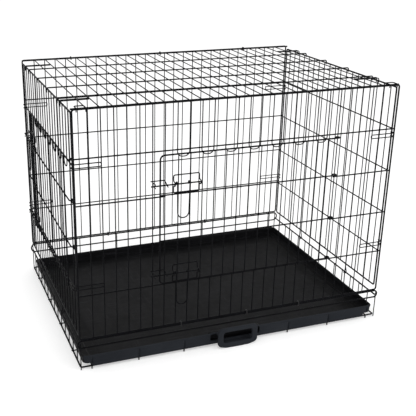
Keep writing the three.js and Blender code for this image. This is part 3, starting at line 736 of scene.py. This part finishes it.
def sill(y, columns, top):
    """One long loop of wire with round ends on posts; a panel is ringed to it."""
    wires = Wires()
    radius = (top - SILL_LOWER) / 2
    middle = (top + SILL_LOWER) / 2
    route = []
    for x, heading in ((LENGTH + SILL_BULGE - radius, 0), (radius - SILL_BULGE, 180)):
        for degrees in range(-90, 91, 15):
            angle = math.radians(heading + degrees)
            route.append((x + radius * math.cos(angle), y, middle + radius * math.sin(angle)))
    wires.tube(route, FRAME, closed=True)
    outward = -1 if y == 0 else 1
    for x in columns:
        corner = x in (0, LENGTH)
        ends = (0 if corner else FLOOR_LEVEL, top + END_BITE)
        lean = outward * ((FRAME + FINE) / 2 - SINK) if corner else 0
        wires.tube([(x, y + lean, z) for z in ends], FINE)
        for z in (SILL_LOWER, top):
            wires.weld(x, y + lean / 2, z - FRAME / 2, *POST_BEAD)
    return wires


# ---- Pan ----
def soften(profile, reach, steps=4):
    """Rounds the corners of a profile whose points hold any count of coordinates."""
    result = [profile[0]]
    for before, corner, after in zip(profile, profile[1:], profile[2:]):
        to_before, to_after = before - corner, after - corner
        start = corner + to_before * min(reach / to_before.length, 0.45)
        end = corner + to_after * min(reach / to_after.length, 0.45)
        for k in range(steps + 1):
            t = k / steps
            result.append(start * (1 - t) ** 2 + corner * 2 * t * (1 - t) + end * t**2)
    return [*result, profile[-1]]


def pan_loop(side, ahead, behind, z, groove, drop):
    """One loop of the pan, counter-clockwise from above, set in from the rim by side at both
    ends, by ahead at the front and by behind at the back. The front edge bends in above each
    foot of the floor by groove, and hangs lower by drop."""
    left, right = PAN_LEFT + side, PAN_RIGHT - side
    front, back = PAN_FRONT + ahead, PAN_BACK - behind
    r = PAN_RADIUS
    steps = 7
    corners = [(right - r, back - r, 0), (left + r, back - r, 90), (left + r, front + r, 180)]
    points = []
    for x, y, start in [*corners, (right - r, front + r, 270)]:
        if start == 270:
            for centre in (*FLOOR_COLUMNS[:3], *FLOOR_COLUMNS[4:]):  # the grip hides the middle
                for offset, depth in GROOVE:
                    across = min(max(centre + offset, left + r), right - r)
                    bite = groove * depth if across == centre + offset else 0
                    points.append(Vector((across, front + bite, z - drop)))
        for k in range(steps + 1):
            angle = math.radians(start + 90 * k / steps)
            forward = max(0, -math.sin(angle)) if start >= 180 else 0
            across, along = x + r * math.cos(angle), y + r * math.sin(angle)
            points.append(Vector((across, along, z - drop * forward)))
    return points


def tray():
    """The pan's shell: a floor, a step along three sides, a steep front and a rolled rim.
    The front wall hangs down in front of the floor's wires."""
    rim, ledge, floor, wall, groove = PAN_RIM, PAN_LEDGE, PAN_FLOOR, PAN_WALL, GROOVE_DEPTH
    # What pan_loop takes, from the middle of the underside round the rim to the middle inside.
    profile = [
        (40, 22, 39, floor, 0, 0),
        (18, 2, 15, floor, 0, 0),
        (17, 1.8, 14, floor + 1, groove, 3.4),
        (16, 0.7, 13, floor + 2, groove, 4.4),
        (14.5, 0.6, 11.5, ledge - 1, groove, 0),
        (1.6, 0.5, 1.6, ledge, groove, 0),
        (1, 0.4, 1, rim - 3.6, groove / 2, 0),
        (0, 0, 0, rim - 3.6, 0, 0),
        (0, 0, 0, rim, 0, 0),
        (2.8, 2.8, 2.8, rim, 0, 0),
        (3.8, 3.3, 3.8, rim - 3.5, groove / 2, 0),
        (1.6 + wall, 0.5 + wall, 1.6 + wall, ledge + wall, groove, 0),
        (14.5 + wall, 1 + wall, 11.5 + wall, ledge - 1 + wall, groove, 0),
        (18 + wall, 2 + wall, 15 + wall, floor + wall + 2, 0, 0),
        (44, 24, 43, floor + wall, 0, 0),
    ]
    loops = [pan_loop(*row) for row in soften([Vector(row) for row in profile], 0.9)]
    wires = Wires()
    wires.points = [point for loop in loops for point in loop]
    wires.skin(0, len(loops), len(loops[0]), False)
    mesh = bpy.data.meshes.new("tray")
    mesh.from_pydata(wires.points, [], wires.faces)
    merge_doubles(mesh)
    return mesh


def merge_doubles(mesh):
    """Joins points that lie together, and turns the faces outwards."""
    shape = bmesh.new()
    shape.from_mesh(mesh)
    bmesh.ops.remove_doubles(shape, verts=shape.verts, dist=0.001)
    bmesh.ops.recalc_face_normals(shape, faces=shape.faces)
    shape.to_mesh(mesh)
    shape.free()


def slot_outline(left, bottom, right, top, radius):
    """The x-z outline of an upright rectangle with round corners."""
    corners = [(left, 0, bottom), (right, 0, bottom), (right, 0, top), (left, 0, top)]
    return [(point.x, point.z) for point in rounded(corners, radius, closed=True)]


def grip_outline(half, bottom=0.3, top=42.5, inset=17, sag=0.6):
    """An upright rounded loop whose lower edge is bowed."""
    steps = 7
    bow = []
    for k in range(steps + 1):
        share = k / steps
        across = -half + inset + (2 * half - 2 * inset) * share
        bow.append((across, bottom + sag * (2 * share - 1) ** 2))
    points = [(-half, top), (-half, bottom + 5), *bow, (half, bottom + 5), (half, top)]
    outline = rounded([(x + GRIP_CENTRE, 0, z) for x, z in points], 9, closed=True)
    return [(point.x, point.z) for point in outline]


def plate(outlines, front, back, dulled):
    """A plate of closed x-z outlines, the first outside and the rest holes, with dulled edges."""
    curve = bpy.data.curves.new("plate", "CURVE")
    curve.dimensions = "2D"
    curve.fill_mode = "BOTH"
    curve.extrude = (back - front) / 2 - dulled
    curve.bevel_depth = dulled
    curve.bevel_resolution = 2
    curve.offset = -dulled
    for outline in outlines:
        spline = curve.splines.new("POLY")
        spline.points.add(len(outline) - 1)
        for point, (x, z) in zip(spline.points, outline):
            point.co = (x, z, 0, 1)
        spline.use_cyclic_u = True
    source = bpy.data.objects.new("plate", curve)
    mesh = bpy.data.meshes.new_from_object(source)
    bpy.data.objects.remove(source)
    bpy.data.curves.remove(curve)
    merge_doubles(mesh)
    upright = Matrix.Rotation(math.pi / 2, 4, "X")
    mesh.transform(Matrix.Translation((0, (front + back) / 2, 0)) @ upright)
    return mesh


def combine(base, tool, operation):
    """The mesh of base after joining tool to it or cutting tool from it."""
    objects = [bpy.data.objects.new("boolean", mesh) for mesh in (base, tool)]
    for item in objects:
        bpy.context.scene.collection.objects.link(item)
    modifier = objects[0].modifiers.new("boolean", "BOOLEAN")
    modifier.operation = operation
    modifier.object = objects[1]
    modifier.solver = "EXACT"
    graph = bpy.context.evaluated_depsgraph_get()
    mesh = bpy.data.meshes.new_from_object(objects[0].evaluated_get(graph))
    for item in objects:
        bpy.data.objects.remove(item)
    return mesh


def moulded_pan():
    """The tray with a pocketed finger slot, and the grip that a shelf and two webs carry."""
    half = GRIP_WIDTH / 2
    grip_back = PAN_FRONT - GRIP_STANDOFF
    grip_front = grip_back - GRIP_THICKNESS

    def centred(half_width, bottom, top, radius, middle=GRIP_CENTRE):
        return slot_outline(middle - half_width, bottom, middle + half_width, top, radius)

    reach, low, high, skin = half + GRIP_ARM, PAN_RIM - 16.5, PAN_RIM - 1.2, 1.6
    slot = centred(reach, low, high, 4.3)
    pocket = centred(reach + skin, low - skin, high + skin, 4.3 + skin)
    mesh = combine(tray(), plate([pocket], PAN_FRONT + 1.5, PAN_FRONT + 10, 0.4), "UNION")
    mesh = combine(mesh, plate([slot], PAN_FRONT - 5, PAN_FRONT + 8.4, 0.01), "DIFFERENCE")
    hole = centred(half - GRIP_ARM, 11, 34.5, 5)
    mesh = combine(mesh, plate([grip_outline(half), hole], grip_front, grip_back, 1.1), "UNION")
    shelf = centred(half - 7, 6, 8.5, 1.2)
    webs = [
        centred(4, PAN_RIM - 3.4, PAN_RIM - 0.2, 1.2, GRIP_CENTRE + side * (half - GRIP_ARM / 2))
        for side in (-1, 1)
    ]
    for bridge in (shelf, *webs):
        mesh = combine(mesh, plate([bridge], grip_back - 1.5, PAN_FRONT + 2, 0.1), "UNION")
    mesh.transform(TO_ROW)
    piece = mesh_piece("moulded_pan", mesh, MATERIALS["pan_plastic"], sharp=35)
    stand_for(piece, "pan")


# ---- The crate ----
def hang_door(name, side, columns, doorway):
    """A door with its two latches, whose places are measured from the door's free edge."""
    first, last = doorway
    edge = columns[first] - DOOR_OVERLAP
    place_wires(name, door(columns, first, last), side)
    for level, height in LATCH_RAILS.items():
        bolt = height + BOLT_HEIGHT
        latch = name + "_" + level
        place_wires(latch + "_keeper", keeper(edge, bolt, columns[first:last]), side)
        place_wires(latch + "_stop_wire", stop_wire(edge, bolt), side)
        place_wires(latch + "_bolt", bolt_rod(edge, bolt), side)
        place_wires(latch + "_handle", drop_handle(edge, bolt), side)
        place_wires(latch + "_catch", bolt_catch(columns[first - 1], bolt), side)


def build_crate():
    place_wires("base_floor_grid", floor_grid(), CRATE)
    place_wires("base_left_side", base_side(0), CRATE)
    place_wires("base_right_side", base_side(LENGTH), CRATE)
    back_top, back_foot = SILL_UPPER + BACK_SILL_LIFT, PANEL_FOOT + BACK_FOOT_LIFT
    place_wires("front_sill", sill(0, [0, LENGTH], SILL_UPPER), CRATE)
    place_wires("back_sill", sill(DEPTH, [0, *FLOOR_COLUMNS, LENGTH], back_top), CRATE)
    mirrored = [LENGTH - u for u in LONG_COLUMNS]
    front = panel(LONG_COLUMNS, 0, PANEL_FOOT, LENGTH, HEIGHT, FRONT_DOOR)
    place_wires("front_panel", front, FRONT_SIDE)
    back_rails = (HEAD_RAIL, UPPER_RAIL, MIDDLE_RAIL, LOWER_RAIL + BACK_RAIL_LIFT)
    back = panel(mirrored, 0, back_foot, LENGTH, HEIGHT, heights=back_rails)
    place_wires("back_panel", back, BACK_SIDE)
    end = (END_COLUMNS, END_INSET, END_FOOT, DEPTH - END_INSET, END_HEAD)
    place_wires("left_end_panel", panel(*end, END_DOOR, HINGE_COLUMNS, END_DOOR_RAILS), LEFT_SIDE)
    place_wires("right_end_panel", panel(*end, feet=HINGE_COLUMNS), RIGHT_SIDE)
    place_wires("top_panel", top_panel(), TOP_SIDE)
    hang_door("front_door", FRONT_SIDE, LONG_COLUMNS, FRONT_DOOR)
    hang_door("end_door", LEFT_SIDE, END_COLUMNS, END_DOOR)
    for level, height in CORNER_HOOK_HEIGHTS.items():
        for end_name, on_right in ENDS:
            hook = end_name + "_" + level + "_hook"
            place_wires("front_" + hook, corner_hook(on_right, height), FRONT_SIDE)
            place_wires("back_" + hook, corner_hook(not on_right, height), BACK_SIDE)
    for end_name, on_right in ENDS:
        for edge, depth in TOP_HOOK_DEPTHS.items():
            name = "top_" + end_name + "_" + edge + "_hook"
            place_wires(name, top_hook(on_right, depth), TOP_SIDE)
        place_wires("top_" + end_name + "_catch", top_catch(on_right), TOP_SIDE)
    for number, column in enumerate(SILL_RING_COLUMNS, 1):
        u = LONG_COLUMNS[column] + LONG_PITCH / 2
        front = ring(u, (SILL_UPPER, 0), (PANEL_FOOT, 0))
        back = ring(u, (back_top, 0), (back_foot, 0))
        place_wires(f"front_hinge_ring_{number}", front, FRONT_SIDE, "ring_wire")
        place_wires(f"back_hinge_ring_{number}", back, BACK_SIDE, "ring_wire")
    for number, column in enumerate(TOP_RING_COLUMNS, 1):
        u = LONG_COLUMNS[column] + LONG_PITCH / 2
        hinge = ring(u, (DEPTH - TOP_HINGE_OFFSET, 0), (DEPTH, 0))
        place_wires(f"top_hinge_ring_{number}", hinge, TOP_SIDE, "ring_wire")
    moulded_pan()


# ---- Studio ----
def seen_directly(tree):
    """1 for rays of the camera and for what gloss and glass show of the surroundings."""
    path = tree.nodes.new("ShaderNodeLightPath")
    total = path.outputs["Is Camera Ray"]
    for name in ("Is Glossy Ray", "Is Transmission Ray"):
        either = tree.nodes.new("ShaderNodeMath")
        either.operation = "MAXIMUM"
        tree.links.new(total, either.inputs[0])
        tree.links.new(path.outputs[name], either.inputs[1])
        total = either.outputs[0]
    return total


def white_world(strength):
    """White where it is seen, and of the given strength as light."""
    world = bpy.data.worlds.new("studio")
    bpy.context.scene.world = world
    world.use_nodes = True
    tree = world.node_tree
    background = tree.nodes["Background"]
    background.inputs["Color"].default_value = (1, 1, 1, 1)
    level = tree.nodes.new("ShaderNodeMapRange")
    level.inputs["To Min"].default_value = strength
    level.inputs["To Max"].default_value = 1
    tree.links.new(seen_directly(tree), level.inputs["Value"])
    tree.links.new(level.outputs["Result"], background.inputs["Strength"])


def pale_floor():
    """A pale floor that fades to white for the camera and keeps the crate's shadow."""
    mesh = bpy.data.meshes.new("floor")
    reach = 9
    corners = [(-reach, -reach, 0), (reach, -reach, 0), (reach, reach, 0), (-reach, reach, 0)]
    mesh.from_pydata(corners, [], [(0, 1, 2, 3)])
    floor = bpy.data.objects.new("floor", mesh)
    bpy.context.scene.collection.objects.link(floor)
    material = bpy.data.materials.new("floor")
    material.use_nodes = True
    tree = material.node_tree
    surface = tree.nodes["Principled BSDF"]
    surface.inputs["Base Color"].default_value = (0.82, 0.82, 0.82, 1)
    surface.inputs["Roughness"].default_value = 0.9
    surface.inputs["Specular IOR Level"].default_value = 0.1
    surface.inputs["Emission Color"].default_value = (1, 1, 1, 1)
    lift = tree.nodes.new("ShaderNodeMapRange")
    lift.inputs["To Max"].default_value = 0.42
    tree.links.new(seen_directly(tree), lift.inputs["Value"])
    tree.links.new(lift.outputs["Result"], surface.inputs["Emission Strength"])
    mesh.materials.append(material)


def soft_box(name, position, target, size, power):
    """A square area light that faces its target."""
    lamp = bpy.data.lights.new(name, "AREA")
    lamp.size = size
    lamp.energy = power
    item = bpy.data.objects.new(name, lamp)
    item.location = position
    item.rotation_euler = (Vector(target) - Vector(position)).to_track_quat("-Z", "Y").to_euler()
    bpy.context.scene.collection.objects.link(item)


def camera():
    """A camera at the photograph's place, in front of the crate's left end and above it."""
    azimuth, elevation, roll = (math.radians(degrees) for degrees in (19.98, -21.47, 0.51))
    heading = Vector((math.sin(azimuth), math.cos(azimuth), 0))
    forward = heading * math.cos(elevation) + Vector((0, 0, math.sin(elevation)))
    level = Vector((math.cos(azimuth), -math.sin(azimuth), 0))
    rise = level.cross(forward)
    right = level * math.cos(roll) + rise * math.sin(roll)
    up = rise * math.cos(roll) - level * math.sin(roll)
    place = TO_ROW @ Vector((-271.6, -1196.8, 789.2))
    data = bpy.data.cameras.new("camera")
    data.sensor_width = 36
    data.lens = 67.44
    data.shift_x = 0.0995
    data.shift_y = 0.0095
    data.clip_start = 0.05
    item = bpy.data.objects.new("camera", data)
    item.matrix_world = layout(place, right, up, -forward)
    bpy.context.scene.collection.objects.link(item)
    bpy.context.scene.camera = item


camera()
build_crate()
white_world(0.75)
pale_floor()
soft_box("key_light", (-1.3, -1.5, 2.1), (0, 0, 0.2), 1.6, 12)
soft_box("fill_light", (1.8, -1.5, 1.0), (0.2, 0, 0.1), 1.3, 16)
bpy.context.scene.view_settings.view_transform = "Standard"
